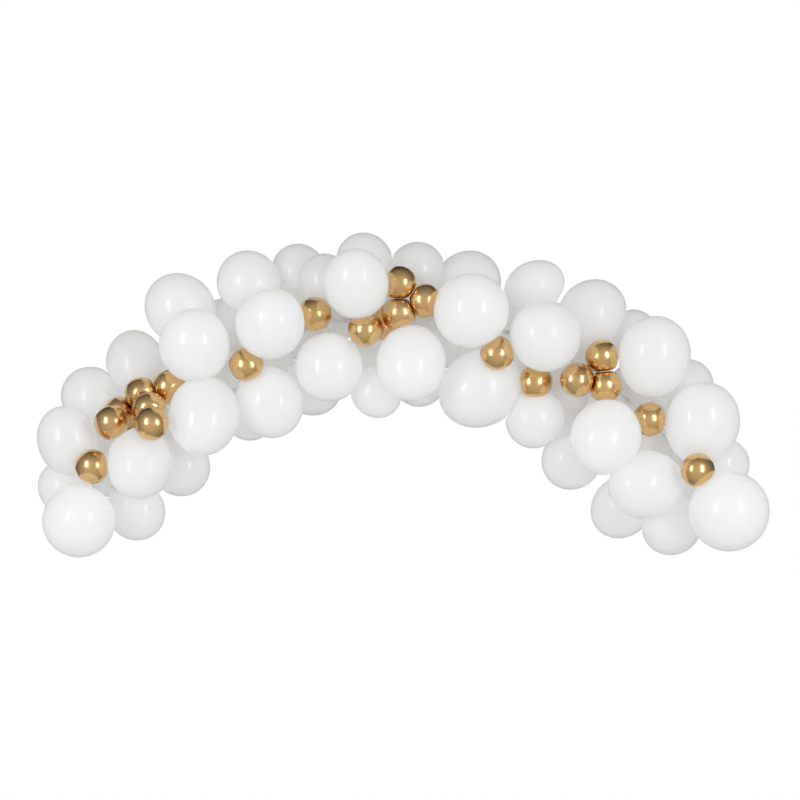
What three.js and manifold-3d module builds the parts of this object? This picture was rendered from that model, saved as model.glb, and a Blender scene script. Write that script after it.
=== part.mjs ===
// A balloon garland: white latex balloons and small gold ones, tied into an arch on a clear strip.
// Millimetres. +X is to the right, +Z is up and the front faces -Y.
// The origin is on the strip's upper face at the crown, where the garland hangs.
import * as THREE from "three";
import { mergeVertices } from "three/addons/utils/BufferGeometryUtils.js";
import Module from "manifold-3d";

const wasm = await Module();
wasm.setup();

// the strip that the necks are pulled through
const archRadius = 968; // of the strip's upper face
const stripHalfLength = 1150;
const stripWidth = 12;
const stripThickness = 1;
const stripPitch = 56; // from one hole of the strip to the next, and so one flat

// the balloons
const goldAcross = 95;
const goldStretch = 1.06;
const neckRadius = 5;
const lipRadius = 8;
const lipThickness = 4;
const longestNeck = 60; // that a neck can be pulled out to reach the strip
const shortNeck = 16; // of a balloon that is stuck to its neighbours, clear of the strip
const gap = 0.3; // between pieces that press on each other
const stripClearance = 0.6; // between a neck's end and the strip

const whiteFacets = { around: 12, along: 6, lip: true };
const goldFacets = { around: 8, along: 5, lip: false };

// Where each balloon is and how far it is blown up. along: from the crown, along the strip, to the
// right. out: from the strip, away from the arch's centre. front: towards the viewer. across: its
// diameter. stretch: its length over its diameter. lean: how far along from it its neck is tied.
const frontBalloons = [
  { along: -1105, out: 0, front: 125, across: 200, stretch: 1.1, lean: -20 },
  { along: -945, out: 140, front: 35, across: 165, stretch: 1.2, lean: -120 },
  { along: -875, out: -60, front: 115, across: 185, stretch: 1.2, lean: 80 },
  { along: -700, out: 140, front: -40, across: 165, stretch: 1.2, lean: -80 },
  { along: -640, out: -90, front: 105, across: 195, stretch: 1.25, lean: 80 },
  { along: -550, out: 80, front: 120, across: 195, stretch: 1.15, lean: -40 },
  { along: -445, out: -155, front: 30, across: 185, stretch: 1.1, lean: 0 },
  { along: -350, out: 40, front: 125, across: 190, stretch: 1.2, lean: -40 },
  { along: -225, out: -120, front: 70, across: 185, stretch: 1.05, lean: 0 },
  { along: -110, out: 90, front: 140, across: 180, stretch: 1.25, lean: 0 },
  { along: 35, out: -130, front: 105, across: 190, stretch: 1.2, lean: 0 },
  { along: 190, out: 30, front: 145, across: 205, stretch: 1.1, lean: -40 },
  { along: 275, out: -170, front: 15, across: 210, stretch: 1.15, lean: 160 },
  { along: 400, out: 25, front: 120, across: 195, stretch: 1.1, lean: 40 },
  { along: 665, out: 135, front: 75, across: 200, stretch: 1.15, lean: 80 },
  { along: 705, out: -120, front: 112, across: 195, stretch: 1.15, lean: -40 },
  { along: 865, out: 100, front: 65, across: 205, stretch: 1.15, lean: 80 },
  { along: 905, out: -125, front: 75, across: 190, stretch: 1.15, lean: 80 },
  { along: 1090, out: 30, front: 135, across: 220, stretch: 1.1, lean: 0 },
];
const backBalloons = [
  { along: -1050, out: 85, front: -30, across: 145, stretch: 1.05, lean: -40 },
  { along: -1010, out: -120, front: -25, across: 160, stretch: 1.05, lean: 40 },
  { along: -830, out: 160, front: -50, across: 170, stretch: 1.1, lean: 0 },
  { along: -810, out: -145, front: -25, across: 165, stretch: 1.05, lean: 0 },
  { along: -535, out: 190, front: -10, across: 190, stretch: 1.1, lean: 40 },
  { along: -365, out: 170, front: -20, across: 175, stretch: 1.05, lean: 40 },
  { along: -300, out: -150, front: -75, across: 170, stretch: 1.1, lean: -80 },
  { along: -245, out: 160, front: -80, across: 150, stretch: 1.05, lean: 40 },
  { along: -185, out: 115, front: 20, across: 145, stretch: 1.05, lean: 40 },
  { along: -85, out: 155, front: -40, across: 155, stretch: 1.05, lean: 80 },
  { along: -85, out: -210, front: 25, across: 135, stretch: 1.1, lean: -160 },
  { along: 40, out: 125, front: -20, across: 155, stretch: 1.05, lean: -80 },
  { along: 170, out: 105, front: -65, across: 180, stretch: 1.1, lean: -80 },
  { along: 330, out: 145, front: -25, across: 140, stretch: 1.25, lean: -160 },
  { along: 485, out: 140, front: -25, across: 185, stretch: 1.1, lean: -40 },
  { along: 485, out: -190, front: 10, across: 160, stretch: 1.05, lean: 40 },
  { along: 675, out: -225, front: -40, across: 165, stretch: 1.05, lean: 0 },
  { along: 775, out: 140, front: -55, across: 150, stretch: 1.05, lean: 0 },
  { along: 925, out: -210, front: -65, across: 165, stretch: 1.15, lean: -40 },
  { along: 985, out: 85, front: -35, across: 145, stretch: 1.05, lean: 0 },
  { along: 1060, out: -120, front: -15, across: 165, stretch: 1.05, lean: -40 },
];
// the gold balloons are all blown up to one size
const goldBalloons = [
  { along: -960, out: 40, front: 115 },
  { along: -840, out: 70, front: 105 },
  { along: -765, out: -15, front: 190 },
  { along: -745, out: 20, front: 115 },
  { along: -735, out: 65, front: 55 },
  { along: -670, out: 30, front: 55 },
  { along: -455, out: -35, front: 80 },
  { along: -230, out: 30, front: 75 },
  { along: -100, out: -35, front: 105 },
  { along: 0, out: 5, front: 100 },
  { along: 0, out: 85, front: 105 },
  { along: 65, out: 40, front: 105 },
  { along: 290, out: -65, front: 115 },
  { along: 430, out: -100, front: 45 },
  { along: 535, out: -40, front: 90 },
  { along: 560, out: 50, front: 65 },
  { along: 610, out: -10, front: 65 },
  { along: 765, out: 0, front: 70 },
  { along: 952, out: 10, front: 150 },
];

const archCentre = new THREE.Vector3(0, 0, -archRadius);

function outwardAt(along) {
  const angle = along / archRadius;
  return new THREE.Vector3(Math.sin(angle), 0, Math.cos(angle));
}

// a point by its length along the strip, its distance out from it and its distance to the front
function placeAt(along, out, front) {
  const place = outwardAt(along).multiplyScalar(archRadius + out).add(archCentre);
  place.y -= front;
  return place;
}

// everything that follows from one line of the lists above
function settle(tie, name, finish) {
  const centre = placeAt(tie.along, tie.out, tie.front);
  const hole = placeAt(tie.along + tie.lean, 0, 0);
  const axis = centre.clone().sub(hole).normalize();
  const radius = tie.across / 2;
  const halfLength = radius * tie.stretch;
  const outward = outwardAt(tie.along + tie.lean);
  const tangent = new THREE.Vector3(outward.z, 0, -outward.x);
  const slant = Math.abs(axis.dot(tangent));
  const clearOfStrip = (stripWidth / 2 + stripClearance + lipRadius * slant) / Math.sqrt(1 - slant ** 2);
  const toStrip = centre.distanceTo(hole) - halfLength - clearOfStrip;
  const neck = toStrip > longestNeck ? shortNeck : toStrip;
  return { name, finish, centre, axis, radius, halfLength, neck };
}

function settleAll(list, prefix, finish) {
  return list.map((tie, i) => settle(tie, `${prefix}_${String(i + 1).padStart(2, "0")}`, finish));
}

// An egg turned about +Y with its top upwards, and a neck with a lip under it.
function turnedBalloon({ radius, halfLength, neck }, { around, along, lip }) {
  const neckEnd = -halfLength - neck;
  const profile = [new THREE.Vector2(0, neckEnd), new THREE.Vector2(lipRadius, neckEnd)];
  if (lip) {
    profile.push(new THREE.Vector2(neckRadius, neckEnd + lipThickness));
  }
  for (let i = along - 1; i > 0; i -= 1) {
    const turn = (Math.PI * i) / along;
    profile.push(new THREE.Vector2(radius * Math.sin(turn), halfLength * Math.cos(turn)));
  }
  profile.push(new THREE.Vector2(0, halfLength));
  return new THREE.LatheGeometry(profile, around);
}

function toSolid(geometry) {
  geometry.deleteAttribute("normal");
  geometry.deleteAttribute("uv");
  const merged = mergeVertices(geometry, 1e-3);
  const corners = merged.index.array;
  const triangles = [];
  for (let i = 0; i < corners.length; i += 3) {
    const [a, b, c] = corners.slice(i, i + 3);
    if (a !== b && b !== c && c !== a) {
      triangles.push(a, b, c);
    }
  }
  const vertProperties = new Float32Array(merged.attributes.position.array);
  return new wasm.Manifold(new wasm.Mesh({ numProp: 3, vertProperties, triVerts: new Uint32Array(triangles) }));
}

function toGeometry(solid) {
  const mesh = solid.getMesh();
  const geometry = new THREE.BufferGeometry();
  geometry.setAttribute("position", new THREE.BufferAttribute(mesh.vertProperties, 3));
  geometry.setIndex(new THREE.BufferAttribute(mesh.triVerts, 1));
  geometry.computeVertexNormals();
  return geometry;
}

// how far an egg's skin is from its centre in one direction
function skinToward({ axis, radius, halfLength }, direction) {
  const cosine = axis.dot(direction);
  return 1 / Math.sqrt((1 - cosine ** 2) / radius ** 2 + cosine ** 2 / halfLength ** 2);
}

// two balloons that press on each other are flat where they meet
function pressed(solid, own, others, turn) {
  let result = solid;
  for (const other of others) {
    const toOther = other.centre.clone().sub(own.centre);
    const distance = toOther.length();
    if (other === own || distance > own.halfLength + other.halfLength + longestNeck) {
      continue;
    }
    toOther.divideScalar(distance);
    const ownSkin = skinToward(own, toOther);
    const otherSkin = skinToward(other, toOther);
    const meeting = (distance ** 2 + ownSkin ** 2 - otherSkin ** 2) / (2 * distance);
    const inwards = toOther.clone().negate().applyQuaternion(turn.clone().invert());
    result = result.trimByPlane(inwards.toArray(), gap / 2 - meeting);
  }
  return result;
}

function balloonMesh(balloon, all) {
  const turn = new THREE.Quaternion().setFromUnitVectors(new THREE.Vector3(0, 1, 0), balloon.axis);
  const blown = toSolid(turnedBalloon(balloon, balloon.finish.facets));
  const geometry = toGeometry(pressed(blown, balloon, all, turn));
  const { color, roughness, metalness } = balloon.finish;
  const mesh = new THREE.Mesh(geometry, new THREE.MeshStandardMaterial({ color, roughness, metalness }));
  mesh.name = balloon.name;
  mesh.position.copy(balloon.centre);
  mesh.quaternion.copy(turn);
  return mesh;
}

// a flat between every two holes, touching the arch at its middle
function stripMesh() {
  const flats = 2 * Math.round(stripHalfLength / stripPitch) - 1;
  const flatAngle = stripPitch / archRadius;
  const edge = (radius, i) => {
    const angle = (i - flats / 2) * flatAngle;
    const reach = radius / Math.cos(flatAngle / 2);
    return new THREE.Vector2(reach * Math.sin(angle), reach * Math.cos(angle) - archRadius);
  };
  const outline = [];
  for (let i = 0; i <= flats; i += 1) {
    outline.push(edge(archRadius, i));
  }
  for (let i = flats; i >= 0; i -= 1) {
    outline.push(edge(archRadius - stripThickness, i));
  }
  const band = new THREE.ExtrudeGeometry(new THREE.Shape(outline), {
    depth: stripWidth,
    bevelEnabled: false,
    curveSegments: 1,
  });
  band.translate(0, 0, -stripWidth / 2);
  const clear = new THREE.MeshStandardMaterial({ color: 0xf2f4f4, roughness: 0.2, metalness: 0 });
  const mesh = new THREE.Mesh(band, clear);
  mesh.name = "balloon_strip";
  mesh.rotation.x = Math.PI / 2;
  return mesh;
}

const white = { color: 0xf6f7f6, roughness: 0.3, metalness: 0, facets: whiteFacets };
const gold = { color: 0xb07f3e, roughness: 0.25, metalness: 1, facets: goldFacets };

const whites = [
  ...settleAll(frontBalloons, "white_front", white),
  ...settleAll(backBalloons, "white_back", white),
];
const golds = settleAll(
  goldBalloons.map((tie) => ({ ...tie, across: goldAcross, stretch: goldStretch, lean: 0 })),
  "gold",
  gold,
);
const balloons = [...whites, ...golds];

const whiteGroup = new THREE.Group();
whiteGroup.add(...whites.map((balloon) => balloonMesh(balloon, balloons)));
const goldGroup = new THREE.Group();
goldGroup.add(...golds.map((balloon) => balloonMesh(balloon, balloons)));

const garland = new THREE.Group();
garland.add(stripMesh(), whiteGroup, goldGroup);

export default garland;
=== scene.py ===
import math

import bpy
import numpy as np
from mathutils import Matrix, Vector


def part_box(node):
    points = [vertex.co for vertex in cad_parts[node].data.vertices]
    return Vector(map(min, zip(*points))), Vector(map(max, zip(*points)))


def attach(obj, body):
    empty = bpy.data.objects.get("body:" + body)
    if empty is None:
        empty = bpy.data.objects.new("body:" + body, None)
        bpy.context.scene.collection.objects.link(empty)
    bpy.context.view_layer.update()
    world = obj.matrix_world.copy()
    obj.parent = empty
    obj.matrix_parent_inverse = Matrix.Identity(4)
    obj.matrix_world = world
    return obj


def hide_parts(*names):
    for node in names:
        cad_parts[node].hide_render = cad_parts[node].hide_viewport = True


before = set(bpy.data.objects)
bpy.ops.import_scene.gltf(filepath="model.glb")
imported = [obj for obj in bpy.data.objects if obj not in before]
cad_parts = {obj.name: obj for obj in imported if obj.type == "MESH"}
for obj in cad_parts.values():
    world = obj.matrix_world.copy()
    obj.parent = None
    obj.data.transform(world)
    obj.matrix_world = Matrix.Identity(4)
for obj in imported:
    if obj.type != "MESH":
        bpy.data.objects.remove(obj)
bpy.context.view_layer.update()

bpy.context.scene.view_settings.view_transform = "Standard"  # keeps the white white
# light goes round and round between white skins
bpy.context.scene.cycles.max_bounces = 32
bpy.context.scene.cycles.diffuse_bounces = 32
bpy.context.scene.cycles.transmission_bounces = 32

# the strip that every neck is pulled through
strip = {
    "archRadius": 0.968,  # of its upper face
    "flats": 41,
    "pitch": 0.056,  # from one hole to the next
    "width": 0.012,
    "thickness": 0.001,
    "edgeRound": 0.0003,
    "smoothUnder": 40,  # degrees
    "holeRadius": 0.0032,
    "holeSides": 24,
    "slitWidth": 0.0022,
    "slitLength": 0.011,
    "slitShift": 0.007,  # from the hole's centre to the slit's
}


def outwardAt(along):
    angle = along / strip["archRadius"]
    return Vector((math.sin(angle), 0, math.cos(angle)))


def placeAt(along, out, front):
    place = outwardAt(along) * (strip["archRadius"] + out)
    return place - Vector((0, front, strip["archRadius"]))


# each balloon is tied as in the construction: along the strip from the crown, out from the strip,
# to the front, then its diameter, its length over that, and how far along its neck is tied
frontTies = [
    (-1.105, 0.000, 0.125, 0.200, 1.10, -0.020),
    (-0.945, 0.140, 0.035, 0.165, 1.20, -0.120),
    (-0.875, -0.060, 0.115, 0.185, 1.20, 0.080),
    (-0.700, 0.140, -0.040, 0.165, 1.20, -0.080),
    (-0.640, -0.090, 0.105, 0.195, 1.25, 0.080),
    (-0.550, 0.080, 0.120, 0.195, 1.15, -0.040),
    (-0.445, -0.155, 0.030, 0.185, 1.10, 0.000),
    (-0.350, 0.040, 0.125, 0.190, 1.20, -0.040),
    (-0.225, -0.120, 0.070, 0.185, 1.05, 0.000),
    (-0.110, 0.090, 0.140, 0.180, 1.25, 0.000),
    (0.035, -0.130, 0.105, 0.190, 1.20, 0.000),
    (0.190, 0.030, 0.145, 0.205, 1.10, -0.040),
    (0.275, -0.170, 0.015, 0.210, 1.15, 0.160),
    (0.400, 0.025, 0.120, 0.195, 1.10, 0.040),
    (0.665, 0.135, 0.075, 0.200, 1.15, 0.080),
    (0.705, -0.120, 0.112, 0.195, 1.15, -0.040),
    (0.865, 0.100, 0.065, 0.205, 1.15, 0.080),
    (0.905, -0.125, 0.075, 0.190, 1.15, 0.080),
    (1.090, 0.030, 0.135, 0.220, 1.10, 0.000),
]
backTies = [
    (-1.050, 0.085, -0.030, 0.145, 1.05, -0.040),
    (-1.010, -0.120, -0.025, 0.160, 1.05, 0.040),
    (-0.830, 0.160, -0.050, 0.170, 1.10, 0.000),
    (-0.810, -0.145, -0.025, 0.165, 1.05, 0.000),
    (-0.535, 0.190, -0.010, 0.190, 1.10, 0.040),
    (-0.365, 0.170, -0.020, 0.175, 1.05, 0.040),
    (-0.300, -0.150, -0.075, 0.170, 1.10, -0.080),
    (-0.245, 0.160, -0.080, 0.150, 1.05, 0.040),
    (-0.185, 0.115, 0.020, 0.145, 1.05, 0.040),
    (-0.085, 0.155, -0.040, 0.155, 1.05, 0.080),
    (-0.085, -0.210, 0.025, 0.135, 1.10, -0.160),
    (0.040, 0.125, -0.020, 0.155, 1.05, -0.080),
    (0.170, 0.105, -0.065, 0.180, 1.10, -0.080),
    (0.330, 0.145, -0.025, 0.140, 1.25, -0.160),
    (0.485, 0.140, -0.025, 0.185, 1.10, -0.040),
    (0.485, -0.190, 0.010, 0.160, 1.05, 0.040),
    (0.675, -0.225, -0.040, 0.165, 1.05, 0.000),
    (0.775, 0.140, -0.055, 0.150, 1.05, 0.000),
    (0.925, -0.210, -0.065, 0.165, 1.15, -0.040),
    (0.985, 0.085, -0.035, 0.145, 1.05, 0.000),
    (1.060, -0.120, -0.015, 0.165, 1.05, -0.040),
]
# the gold ones are all one size, so they have only along, out and front
goldSize = {"across": 0.095, "stretch": 1.06}
goldTies = [
    (-0.960, 0.040, 0.115),
    (-0.840, 0.070, 0.105),
    (-0.765, -0.015, 0.190),
    (-0.745, 0.020, 0.115),
    (-0.735, 0.065, 0.055),
    (-0.670, 0.030, 0.055),
    (-0.455, -0.035, 0.080),
    (-0.230, 0.030, 0.075),
    (-0.100, -0.035, 0.105),
    (0.000, 0.005, 0.100),
    (0.000, 0.085, 0.105),
    (0.065, 0.040, 0.105),
    (0.290, -0.065, 0.115),
    (0.430, -0.100, 0.045),
    (0.535, -0.040, 0.090),
    (0.560, 0.050, 0.065),
    (0.610, -0.010, 0.065),
    (0.765, 0.000, 0.070),
    (0.952, 0.010, 0.150),
]
# balloons behind the others, which fill the garland where it would show through
hiddenWhiteTies = [
    (-0.950, -0.005, -0.085, 0.145, 1.05, 0.000),
    (-0.870, 0.045, -0.080, 0.140, 1.05, 0.000),
    (-0.760, -0.060, -0.075, 0.145, 1.05, 0.000),
    (-0.660, 0.020, -0.085, 0.145, 1.05, 0.000),
    (-0.525, -0.155, -0.020, 0.145, 1.05, 0.000),
    (-0.520, -0.045, -0.080, 0.145, 1.05, 0.000),
    (-0.460, 0.085, -0.070, 0.160, 1.05, 0.000),
    (-0.385, -0.060, -0.070, 0.140, 1.05, 0.000),
    (-0.275, 0.065, -0.075, 0.145, 1.05, 0.000),
    (-0.270, -0.030, -0.080, 0.150, 1.05, 0.000),
    (-0.150, 0.020, -0.070, 0.145, 1.05, 0.000),
    (-0.105, -0.125, -0.070, 0.160, 1.05, 0.000),
    (-0.020, 0.010, -0.075, 0.145, 1.05, 0.000),
    (0.065, -0.170, -0.045, 0.155, 1.05, 0.000),
    (0.065, 0.020, -0.080, 0.140, 1.05, 0.000),
    (0.125, -0.060, -0.065, 0.155, 1.05, 0.000),
    (0.215, -0.060, -0.075, 0.145, 1.05, 0.000),
    (0.300, 0.015, -0.080, 0.145, 1.05, 0.000),
    (0.390, -0.080, -0.075, 0.145, 1.05, 0.000),
    (0.475, 0.015, -0.080, 0.145, 1.05, 0.000),
    (0.530, -0.080, -0.060, 0.150, 1.05, 0.000),
    (0.590, -0.165, -0.060, 0.140, 1.05, 0.000),
    (0.595, 0.150, -0.045, 0.140, 1.05, 0.000),
    (0.615, -0.045, -0.085, 0.140, 1.05, 0.000),
    (0.685, 0.035, -0.080, 0.150, 1.05, 0.000),
    (0.765, 0.060, -0.080, 0.140, 1.05, 0.000),
    (0.785, -0.045, -0.070, 0.150, 1.05, 0.000),
    (0.870, -0.020, -0.075, 0.150, 1.05, 0.000),
    (0.960, -0.010, -0.080, 0.145, 1.05, 0.000),
]
hiddenGoldTies = [
    (-0.810, 0.070, 0.030),
    (-0.045, -0.020, 0.045),
]

neck = {
    "longest": 0.060,  # that it can be pulled out to reach the strip
    "short": 0.016,  # of a balloon stuck to its neighbours, clear of the strip
    "shortest": 0.006,
    "lip": 0.008,  # its rolled lip's radius
    "clearance": 0.0006,  # from its end to the strip
}


def settle(name, finish, tie):
    along, out, front, across, stretch, lean = tie
    centre = placeAt(along, out, front)
    hole = placeAt(along + lean, 0, 0)
    axis = (centre - hole).normalized()
    radius = across / 2
    halfLength = radius * stretch
    outward = outwardAt(along + lean)
    slant = abs(axis.dot(Vector((outward.z, 0, -outward.x))))
    edge = strip["width"] / 2 + neck["clearance"] + neck["lip"] * slant
    toStrip = (centre - hole).length - halfLength - edge / math.sqrt(1 - slant ** 2)
    return {
        "name": name,
        "finish": finish,
        "centre": centre,
        "axis": axis,
        "radius": radius,
        "halfLength": halfLength,
        "neck": neck["short"] if toStrip > neck["longest"] else max(toStrip, neck["shortest"]),
    }


def settleAll(prefix, finish, ties):
    return [settle(f"{prefix}_{i + 1:02d}", finish, tie) for i, tie in enumerate(ties)]


def goldTie(tie):
    return (*tie, goldSize["across"], goldSize["stretch"], 0)


tied = (
    settleAll("white_front", "white_latex", frontTies)
    + settleAll("white_back", "white_latex", backTies)
    + settleAll("gold", "gold_latex", [goldTie(tie) for tie in goldTies])
)
hidden = (
    settleAll("white_hidden", "white_latex", hiddenWhiteTies)
    + settleAll("gold_hidden", "gold_latex", [goldTie(tie) for tie in hiddenGoldTies])
)
print(f"settled {len(tied)} tied balloons and {len(hidden)} hidden ones")

# one balloon is modelled, and the others are copies of it, each blown up to its own size
balloonShape = {
    "segments": 72,
    "rings": 48,
    "neckStart": 0.982,  # how far down its half length the body ends
    "neckSteps": [  # share of the neck's length, and the neck's radius there, in metres
        (0.10, 0.0068),
        (0.30, 0.0056),
        (0.48, 0.0048),
        (0.56, 0.0062),
        (0.62, 0.0074),
        (0.69, 0.0072),
        (0.75, 0.0056),
        (0.80, 0.0046),
        (0.88, 0.0056),
        (0.93, 0.0072),
        (0.97, 0.0080),
        (1.00, 0.0076),
        (0.98, 0.0062),
        (0.90, 0.0044),
    ],
    "neckUnit": 10,  # the master's neck is this many times as wide as the real one
    "pear": 0.045,  # how much slimmer it is towards its neck
    "fillet": 0.16,  # of its radius, where the body runs into the neck
    "filletStart": 0.80,  # how far down its half length that starts
    "pleats": 11,
    "pleatDepth": 0.05,
    "pleatStart": 0.86,
    "pleatFull": 0.98,
    "softness": 0.0035,  # how softly a pressed flat runs into the round
    "gap": 0.0003,  # between balloons that press on each other
}


def selectWhere(keep, kind):
    bpy.ops.mesh.select_all(action="DESELECT")
    bpy.ops.object.mode_set(mode="OBJECT")
    for item in getattr(bpy.context.object.data, kind):
        item.select = keep(item)
    bpy.ops.object.mode_set(mode="EDIT")


def modelMaster():
    bpy.ops.object.select_all(action="DESELECT")
    bpy.ops.mesh.primitive_uv_sphere_add(
        segments=balloonShape["segments"], ring_count=balloonShape["rings"], radius=1)
    master = bpy.context.object
    master.name = "balloon_master"
    bpy.ops.object.mode_set(mode="EDIT")
    bpy.ops.mesh.select_mode(type="VERT")
    start = -balloonShape["neckStart"]
    selectWhere(lambda vertex: vertex.co.z < start, "vertices")
    bpy.ops.mesh.delete(type="VERT")
    bpy.ops.object.mode_set(mode="OBJECT")
    lowest = min(vertex.co.z for vertex in master.data.vertices)
    bpy.ops.object.mode_set(mode="EDIT")
    selectWhere(lambda vertex: vertex.co.z < lowest + 1e-5, "vertices")
    width, height = math.sqrt(1 - lowest ** 2), lowest
    for share, radius in balloonShape["neckSteps"]:
        wanted = radius * balloonShape["neckUnit"]
        bpy.ops.mesh.extrude_region_move(
            TRANSFORM_OT_translate={"value": (0, 0, -1 - share - height)})
        grow = wanted / width
        bpy.ops.transform.resize(value=(grow, grow, 1), center_override=(0, 0, -1 - share))
        width, height = wanted, -1 - share
    bpy.ops.mesh.edge_face_add()
    bpy.ops.mesh.poke()
    bpy.ops.mesh.select_all(action="SELECT")
    bpy.ops.mesh.normals_make_consistent(inside=False)
    bpy.ops.object.mode_set(mode="OBJECT")
    bpy.ops.object.shade_smooth()
    return master


master = modelMaster()
masterPoints = np.array([vertex.co for vertex in master.data.vertices])
print(f"modelled one balloon of {len(master.data.polygons)} faces")


# the greater of two, with the corner between them rounded off
def softGreater(a, b, softness):
    return (a + b + np.sqrt((a - b) ** 2 + softness ** 2)) / 2


# how far a balloon's skin is from its centre in one direction
def skinToward(balloon, direction):
    cosine = balloon["axis"].dot(direction)
    across = (1 - cosine ** 2) / balloon["radius"] ** 2
    return 1 / math.sqrt(across + cosine ** 2 / balloon["halfLength"] ** 2)


# the master's points, blown up to one balloon's size and with its neck drawn out
def blownPoints(balloon):
    shape = balloonShape
    x, y, z = masterPoints.T
    turn = np.arctan2(y, x)
    width = np.hypot(x, y)
    isNeck = z < -1
    radius, halfLength = balloon["radius"], balloon["halfLength"]
    bodyEnd = -halfLength * shape["neckStart"]
    neckLength = balloon["neck"] + halfLength + bodyEnd
    low = np.clip(-z, 0, 1)
    body = radius * width * (1 - shape["pear"] * low ** 2)
    firstNeck = shape["neckSteps"][0][1]
    filletShare = np.clip((low - shape["filletStart"]) / (1 - shape["filletStart"]), 0, 1)
    rounded = softGreater(body, firstNeck, shape["fillet"] * radius * filletShare)
    body = np.where(low > shape["filletStart"], rounded, body)
    slim = width / shape["neckUnit"]
    nearNeck = (low - shape["pleatStart"]) / (shape["pleatFull"] - shape["pleatStart"])
    nearNeck = np.clip(nearNeck, 0, 1)
    pleat = 1 + shape["pleatDepth"] * nearNeck * np.cos(shape["pleats"] * turn)
    reach = np.where(isNeck, slim, body) * pleat
    height = np.where(isNeck, bodyEnd + (z + 1) * neckLength, halfLength * z)
    return np.c_[reach * np.cos(turn), reach * np.sin(turn), height], isNeck


masterHeights = np.round(masterPoints[:, 2], 4)
masterRings = [np.flatnonzero(masterHeights == height) for height in np.unique(masterHeights)]


# two balloons that press on each other are flat where they meet, and a neck bends out of the way
def press(points, isNeck, balloon, others):
    softness = balloonShape["softness"]
    for other in others:
        toOther = other["centre"] - balloon["centre"]
        distance = toOther.length
        reach = balloon["halfLength"] + other["halfLength"] + neck["longest"]
        if other is balloon or distance > reach:
            continue
        toOther.normalize()
        own = skinToward(balloon, toOther)
        its = skinToward(other, toOther)
        meeting = (distance ** 2 + own ** 2 - its ** 2) / (2 * distance)
        flat = meeting - balloonShape["gap"] / 2
        away = np.array(toOther)
        beyond = (points - np.array(balloon["centre"])) @ away - flat
        for ring in masterRings:
            if isNeck[ring[0]]:
                beyond[ring] = beyond[ring].max()
        softer = -softness * np.logaddexp(0, -beyond / softness)
        points = points + np.outer(softer - beyond, away)
    return points


def makeBalloon(balloon, others):
    mesh = master.data.copy()
    piece = bpy.data.objects.new("skin_" + balloon["name"], mesh)
    bpy.context.scene.collection.objects.link(piece)
    points, isNeck = blownPoints(balloon)
    turn = Vector((0, 0, 1)).rotation_difference(balloon["axis"]).to_matrix()
    points = points @ np.array(turn).T + np.array(balloon["centre"])
    points = press(points, isNeck, balloon, others)
    mesh.vertices.foreach_set("co", points.astype(np.float32).ravel())
    mesh.update()
    towardNeck = np.clip((1 - masterPoints[:, 2]) / 2, 0, 1)
    depth = mesh.attributes.new("towardNeck", "FLOAT", "POINT")
    depth.data.foreach_set("value", towardNeck.astype(np.float32))
    mesh.materials.clear()
    mesh.materials.append(materials[balloon["finish"]])
    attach(piece, "root")
    return piece


def newMaterial(name):
    material = bpy.data.materials.new(name)
    material.use_nodes = True
    return material, material.node_tree.nodes, material.node_tree.links


def noise(nodes, links, scale, detail=2.0):
    where = nodes.new("ShaderNodeTexCoord")
    texture = nodes.new("ShaderNodeTexNoise")
    texture.inputs["Scale"].default_value = scale
    texture.inputs["Detail"].default_value = detail
    links.new(where.outputs["Object"], texture.inputs["Vector"])
    return texture.outputs["Fac"]


def mapped(nodes, links, source, low, high):
    change = nodes.new("ShaderNodeMapRange")
    change.inputs["From Min"].default_value = 0.3
    change.inputs["From Max"].default_value = 0.7
    change.inputs["To Min"].default_value = low
    change.inputs["To Max"].default_value = high
    links.new(source, change.inputs["Value"])
    return change.outputs["Result"]


# a colour ramp along the balloon, from its crown to its neck, clouded a little
def latexColour(nodes, links, stops, cloudScale, cloudDepth):
    along = nodes.new("ShaderNodeAttribute")
    along.attribute_name = "towardNeck"
    ramp = nodes.new("ShaderNodeValToRGB")
    ramp.color_ramp.elements[0].position, ramp.color_ramp.elements[0].color = stops[0]
    ramp.color_ramp.elements[1].position, ramp.color_ramp.elements[1].color = stops[-1]
    for position, colour in stops[1:-1]:
        ramp.color_ramp.elements.new(position).color = colour
    links.new(along.outputs["Fac"], ramp.inputs["Fac"])
    clouds = mapped(nodes, links, noise(nodes, links, cloudScale), 1 - cloudDepth, 1)
    tint = nodes.new("ShaderNodeMix")
    tint.data_type = "RGBA"
    tint.blend_type = "MULTIPLY"
    tint.inputs["Factor"].default_value = 1
    links.new(ramp.outputs["Color"], tint.inputs["A"])
    links.new(clouds, tint.inputs["B"])
    return tint.outputs["Result"]


# fine unevenness over broad, each layer a scale and a depth
def bumped(nodes, links, layers):
    normal = None
    for scale, distance in layers:
        bump = nodes.new("ShaderNodeBump")
        bump.inputs["Distance"].default_value = distance
        links.new(noise(nodes, links, scale), bump.inputs["Height"])
        if normal:
            links.new(normal, bump.inputs["Normal"])
        normal = bump.outputs["Normal"]
    return normal


whiteFinish = {
    "stops": [  # from crown to neck
        (0.0, (0.965, 0.97, 0.97, 1)),
        (0.80, (0.965, 0.965, 0.96, 1)),
        (1.0, (0.88, 0.87, 0.83, 1)),
    ],
    "clouds": (5, 0.025),  # scale, depth
    "gloss": (0.20, 0.30),
    "glossScale": 30,
    "bumps": [(9, 0.004), (900, 0.00002)],
    "through": 0.66,  # how much of the light goes through the thin skin
    "throughTint": (0.985, 0.985, 0.985, 1),
    "specular": 0.4,
    "coat": 1.0,
    "coatRoughness": 0.08,
}


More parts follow.
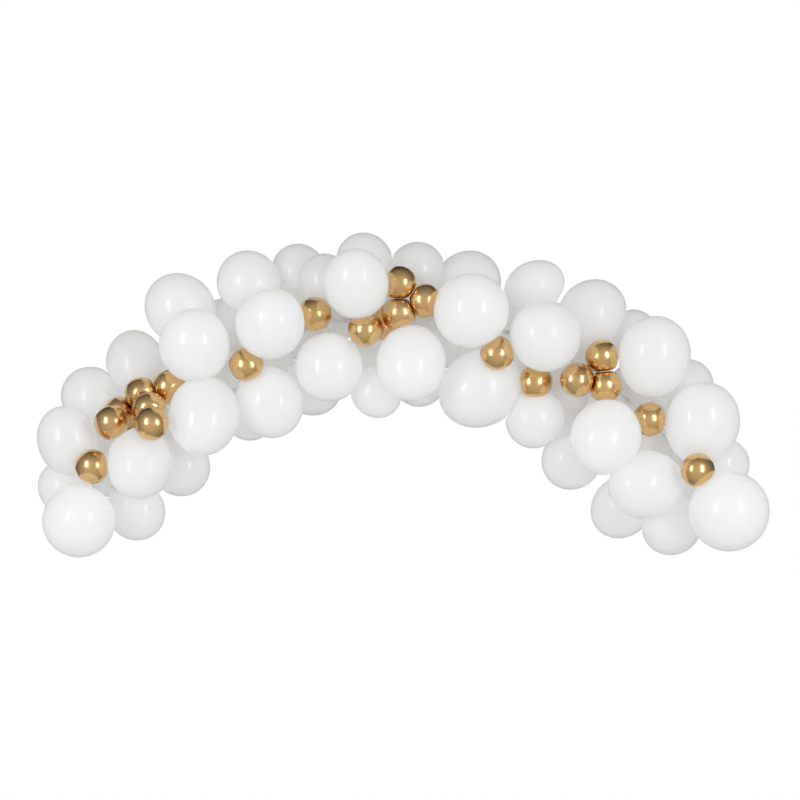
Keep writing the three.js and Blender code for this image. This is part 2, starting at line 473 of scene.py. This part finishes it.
def whiteLatex():
    material, nodes, links = newMaterial("white_latex")
    shader = nodes["Principled BSDF"]
    colour = latexColour(nodes, links, whiteFinish["stops"], *whiteFinish["clouds"])
    links.new(colour, shader.inputs["Base Color"])
    patches = noise(nodes, links, whiteFinish["glossScale"])
    gloss = mapped(nodes, links, patches, *whiteFinish["gloss"])
    links.new(gloss, shader.inputs["Roughness"])
    links.new(bumped(nodes, links, whiteFinish["bumps"]), shader.inputs["Normal"])
    shader.inputs["Specular IOR Level"].default_value = whiteFinish["specular"]
    shader.inputs["Coat Weight"].default_value = whiteFinish["coat"]
    shader.inputs["Coat Roughness"].default_value = whiteFinish["coatRoughness"]
    glow = nodes.new("ShaderNodeBsdfTranslucent")
    glow.inputs["Color"].default_value = whiteFinish["throughTint"]
    skin = nodes.new("ShaderNodeMixShader")
    skin.inputs["Fac"].default_value = whiteFinish["through"]
    links.new(shader.outputs["BSDF"], skin.inputs[1])
    links.new(glow.outputs["BSDF"], skin.inputs[2])
    links.new(skin.outputs["Shader"], nodes["Material Output"].inputs["Surface"])
    return material


goldFinish = {
    "stops": [
        (0.0, (0.84, 0.53, 0.22, 1)),
        (0.75, (0.80, 0.48, 0.18, 1)),
        (1.0, (0.56, 0.29, 0.09, 1)),
    ],
    "clouds": (12, 0.10),
    "gloss": (0.20, 0.30),
    "glossScale": 45,
    "bumps": [(16, 0.003), (700, 0.00003)],
    "coat": 0.6,
    "coatRoughness": 0.22,
}


def goldLatex():
    material, nodes, links = newMaterial("gold_latex")
    shader = nodes["Principled BSDF"]
    colour = latexColour(nodes, links, goldFinish["stops"], *goldFinish["clouds"])
    links.new(colour, shader.inputs["Base Color"])
    patches = noise(nodes, links, goldFinish["glossScale"])
    gloss = mapped(nodes, links, patches, *goldFinish["gloss"])
    links.new(gloss, shader.inputs["Roughness"])
    links.new(bumped(nodes, links, goldFinish["bumps"]), shader.inputs["Normal"])
    shader.inputs["Metallic"].default_value = 1
    shader.inputs["Coat Weight"].default_value = goldFinish["coat"]
    shader.inputs["Coat Roughness"].default_value = goldFinish["coatRoughness"]
    return material


clearFinish = {
    "tint": (0.93, 0.95, 0.95, 1),
    "through": 0.8,
    "gloss": (0.10, 0.22),
    "glossScale": 160,
    "bumps": [(60, 0.0002), (900, 0.00002)],
}


def clearPlastic():
    material, nodes, links = newMaterial("clear_strip")
    shader = nodes["Principled BSDF"]
    shader.inputs["Base Color"].default_value = clearFinish["tint"]
    shader.inputs["Transmission Weight"].default_value = clearFinish["through"]
    patches = noise(nodes, links, clearFinish["glossScale"])
    gloss = mapped(nodes, links, patches, *clearFinish["gloss"])
    links.new(gloss, shader.inputs["Roughness"])
    links.new(bumped(nodes, links, clearFinish["bumps"]), shader.inputs["Normal"])
    return material


materials = {
    "white_latex": whiteLatex(),
    "gold_latex": goldLatex(),
    "clear_strip": clearPlastic(),
}
print("mixed the finishes")

balloons = tied + hidden
worst = 0  # how far a balloon's box is from its node's
for balloon in tied:
    piece = makeBalloon(balloon, balloons)
    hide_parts(balloon["name"])
    low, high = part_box(balloon["name"])
    corners = np.array([vertex.co for vertex in piece.data.vertices])
    worst = max(worst, np.abs(corners.min(0) - low).max(), np.abs(corners.max(0) - high).max())
for balloon in hidden:
    makeBalloon(balloon, balloons)
bpy.data.objects.remove(master)
print(f"blew up {len(balloons)} balloons, within {worst * 1000:.1f} mm of the frame")

# one flat of the strip, with a round hole and a slit that runs into it
def modelFlat():
    bpy.ops.object.select_all(action="DESELECT")
    bpy.ops.mesh.primitive_cube_add(size=1)
    flat = bpy.context.object
    flat.scale = (strip["pitch"], strip["width"], strip["thickness"])
    bpy.ops.object.transform_apply(scale=True)
    cutters = []
    bpy.ops.mesh.primitive_cylinder_add(
        vertices=strip["holeSides"], radius=strip["holeRadius"], depth=strip["width"])
    cutters.append(bpy.context.object)
    bpy.ops.mesh.primitive_cube_add(size=1, location=(strip["slitShift"], 0, 0))
    slit = bpy.context.object
    slit.scale = (strip["slitLength"], strip["slitWidth"], strip["width"])
    bpy.ops.object.transform_apply(scale=True)
    cutters.append(slit)
    for cutter in cutters:
        bpy.context.view_layer.objects.active = flat
        cut = flat.modifiers.new("cut", "BOOLEAN")
        cut.operation = "DIFFERENCE"
        cut.object = cutter
        bpy.ops.object.modifier_apply(modifier="cut")
        bpy.data.objects.remove(cutter)
    return flat


def modelStrip():
    flat = modelFlat()
    flatAngle = strip["pitch"] / strip["archRadius"]
    middle = strip["archRadius"] - strip["thickness"] / 2
    copies = []
    for i in range(strip["flats"]):
        angle = (i - (strip["flats"] - 1) / 2) * flatAngle
        copy = bpy.data.objects.new("flat", flat.data.copy())
        bpy.context.scene.collection.objects.link(copy)
        lift = Matrix.Translation((0, 0, middle))
        drop = Matrix.Translation((0, 0, -strip["archRadius"]))
        copy.data.transform(drop @ Matrix.Rotation(angle, 4, "Y") @ lift)
        copies.append(copy)
    bpy.data.objects.remove(flat)
    bpy.ops.object.select_all(action="DESELECT")
    for copy in copies:
        copy.select_set(True)
    bpy.context.view_layer.objects.active = copies[0]
    bpy.ops.object.join()
    whole = bpy.context.object
    whole.name = "tying_strip"
    rounding = whole.modifiers.new("round", "BEVEL")
    rounding.width = strip["edgeRound"]
    rounding.segments = 2
    rounding.limit_method = "ANGLE"
    bpy.ops.object.modifier_apply(modifier="round")
    bpy.ops.object.shade_smooth_by_angle(angle=math.radians(strip["smoothUnder"]))
    whole.data.materials.clear()
    whole.data.materials.append(materials["clear_strip"])
    return whole


wholeStrip = modelStrip()
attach(wholeStrip, "root")
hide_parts("balloon_strip")
print("made the strip")

studio = {
    "frameWidth": 2.2,  # that the camera takes in
    "lens": 200,
    "sensor": 36,
    "aim": (0, -0.08, -0.234),
    "floor": {
        "size": (6.0, 4.2),
        "centre": (0, -0.9, -1.45),
        "colour": (0.93, 0.93, 0.925, 1),
        "roughness": 0.7,
    },
    # the sky's bright side, and its strength and tint from its dim side to its bright one
    "sky": {
        "toward": (0, -0.45, -0.89),
        "strength": (0.33, 1.50),
        "tints": ((1.0, 0.97, 0.91, 1), (0.955, 0.975, 1.0, 1)),
    },
    "mirroredSky": {  # what shows in the gloss
        "toward": (0, -0.95, -0.31),
        "strength": (0.0, 0.62),
        "tints": ((1.0, 1.0, 1.0, 1), (1.0, 1.0, 1.0, 1)),
    },
    "backdrop": {  # what the camera sees
        "toward": (0, 0, -1),
        "strength": (1, 1),
        "tints": ((1.0, 1.0, 1.0, 1), (1.0, 1.0, 1.0, 1)),
    },
    "boxes": [  # place, size, power
        ((-2.9, -3.3, 0.5), (0.9, 2.4), 54),
        ((2.6, -3.5, 0.4), (0.9, 2.4), 54),
    ],
    "boxTint": (0.88, 0.94, 1.0),
}


def makeCamera():
    camera = bpy.data.objects.new("camera", bpy.data.cameras.new("camera"))
    bpy.context.scene.collection.objects.link(camera)
    camera.data.lens = studio["lens"]
    camera.data.sensor_width = studio["sensor"]
    away = studio["frameWidth"] * studio["lens"] / studio["sensor"]
    x, y, z = studio["aim"]
    camera.location = (x, y - away, z)
    camera.rotation_euler = (math.radians(90), 0, 0)
    bpy.context.scene.camera = camera


def skyLayer(nodes, links, direction, layer):
    facing = nodes.new("ShaderNodeVectorMath")
    facing.operation = "DOT_PRODUCT"
    facing.inputs[1].default_value = layer["toward"]
    links.new(direction, facing.inputs[0])
    share = nodes.new("ShaderNodeMapRange")
    share.inputs["From Min"].default_value = -1
    links.new(facing.outputs["Value"], share.inputs["Value"])
    tint = nodes.new("ShaderNodeValToRGB")
    for element, colour in zip(tint.color_ramp.elements, layer["tints"]):
        element.color = colour
    links.new(share.outputs["Result"], tint.inputs["Fac"])
    strength = nodes.new("ShaderNodeMapRange")
    strength.inputs["To Min"].default_value = layer["strength"][0]
    strength.inputs["To Max"].default_value = layer["strength"][1]
    links.new(share.outputs["Result"], strength.inputs["Value"])
    light = nodes.new("ShaderNodeBackground")
    links.new(tint.outputs["Color"], light.inputs["Color"])
    links.new(strength.outputs["Result"], light.inputs["Strength"])
    return light.outputs["Background"]


# brighter from below, darker in the gloss, plain white behind what the camera sees
def makeSky():
    world = bpy.data.worlds.new("sky")
    bpy.context.scene.world = world
    world.use_nodes = True
    nodes, links = world.node_tree.nodes, world.node_tree.links
    direction = nodes.new("ShaderNodeTexCoord").outputs["Generated"]
    path = nodes.new("ShaderNodeLightPath")
    shown = skyLayer(nodes, links, direction, studio["sky"])
    for name, ray in (("mirroredSky", "Is Glossy Ray"), ("backdrop", "Is Camera Ray")):
        mix = nodes.new("ShaderNodeMixShader")
        links.new(path.outputs[ray], mix.inputs["Fac"])
        links.new(shown, mix.inputs[1])
        links.new(skyLayer(nodes, links, direction, studio[name]), mix.inputs[2])
        shown = mix.outputs["Shader"]
    links.new(shown, nodes["World Output"].inputs["Surface"])


def makeSoftBox(name, place, size, power):
    light = bpy.data.lights.new(name, "AREA")
    light.shape = "RECTANGLE"
    light.size, light.size_y = size
    light.energy = power
    light.color = studio["boxTint"]
    lamp = bpy.data.objects.new(name, light)
    bpy.context.scene.collection.objects.link(lamp)
    lamp.location = place
    toAim = Vector(studio["aim"]) - Vector(place)
    lamp.rotation_euler = toAim.to_track_quat("-Z", "Y").to_euler()


def makeFloor():
    look = studio["floor"]
    bpy.ops.object.select_all(action="DESELECT")
    bpy.ops.mesh.primitive_plane_add(size=1, location=look["centre"])
    floor = bpy.context.object
    floor.name = "studio_floor"
    floor.scale = (*look["size"], 1)
    bpy.ops.object.transform_apply(location=True, scale=True)
    material, nodes, _ = newMaterial("pale_floor")
    nodes["Principled BSDF"].inputs["Base Color"].default_value = look["colour"]
    nodes["Principled BSDF"].inputs["Roughness"].default_value = look["roughness"]
    floor.data.materials.append(material)
    # it doesn't shade the light from below
    floor.visible_diffuse = False
    floor.visible_transmission = False
    floor.visible_glossy = False


makeCamera()
makeSky()
for number, (place, size, power) in enumerate(studio["boxes"]):
    makeSoftBox(f"soft_box_{number + 1}", place, size, power)
makeFloor()
print("set up the studio")
